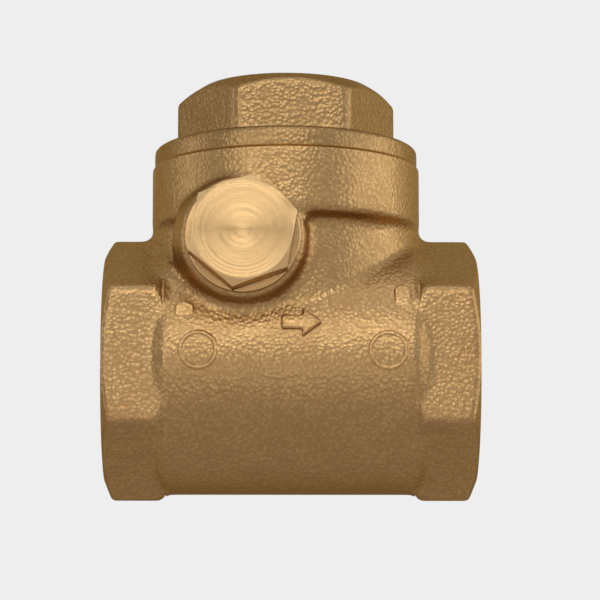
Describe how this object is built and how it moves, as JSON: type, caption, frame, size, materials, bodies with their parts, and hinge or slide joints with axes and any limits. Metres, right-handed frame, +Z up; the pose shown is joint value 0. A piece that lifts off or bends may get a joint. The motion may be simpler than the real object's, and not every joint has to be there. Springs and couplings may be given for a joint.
{
  "type": "swing check valve",
  "caption": "Threaded brass swing check valve with hexagon pipe ends, a screwed hexagon bonnet, a side plug over the hinge pin and a hinged rubber-faced clapper.",
  "frame": {"origin": "on the pipe's axis at mid-length, where the pipe line holds the valve by both threaded ends", "axes": "+X along the flow from inlet to outlet, +Z up through the bonnet, and the hinge pin's plug faces -Y"},
  "size_m": [0.066, 0.0548, 0.0746],
  "materials": {
    "cast_brass": "hot-pressed brass, shot-blasted to a fine sandy grain, golden brown",
    "bright_brass": "turned from bar, bright, with fine concentric tool marks",
    "machined_brass": "machined, satin",
    "stainless": "turned stainless steel",
    "rubber": "moulded black nitrile, matt",
    "fibre": "pressed red-brown gasket fibre"
  },
  "bodies": {
    "valve_body": {"body": "cast_brass", "bonnet_cap": "cast_brass", "bonnet_gasket": "fibre", "hinge_pin_plug": "bright_brass", "plug_gasket": "fibre", "hinge_pin": "stainless"},
    "clapper_arm": {"disc_hanger": "machined_brass"},
    "clapper_disc": {"disc_holder": "machined_brass", "seat_disc": "rubber", "seat_disc_washer": "stainless", "seat_disc_nut": "stainless", "hanger_washer": "stainless", "hanger_nut": "stainless"}
  },
  "joints": [
    {"name": "clapper_swing", "type": "hinge", "parent": "valve_body", "child": "clapper_arm", "pos_m": [-0.0083, 0, 0.0201], "axis": [0, -1, 0], "range_deg": [0, 54]},
    {"name": "disc_spin", "type": "hinge", "parent": "clapper_arm", "child": "clapper_disc", "pos_m": [-0.0052, 0, 0], "axis": [1, 0, 0], "continuous": true}
  ]
}
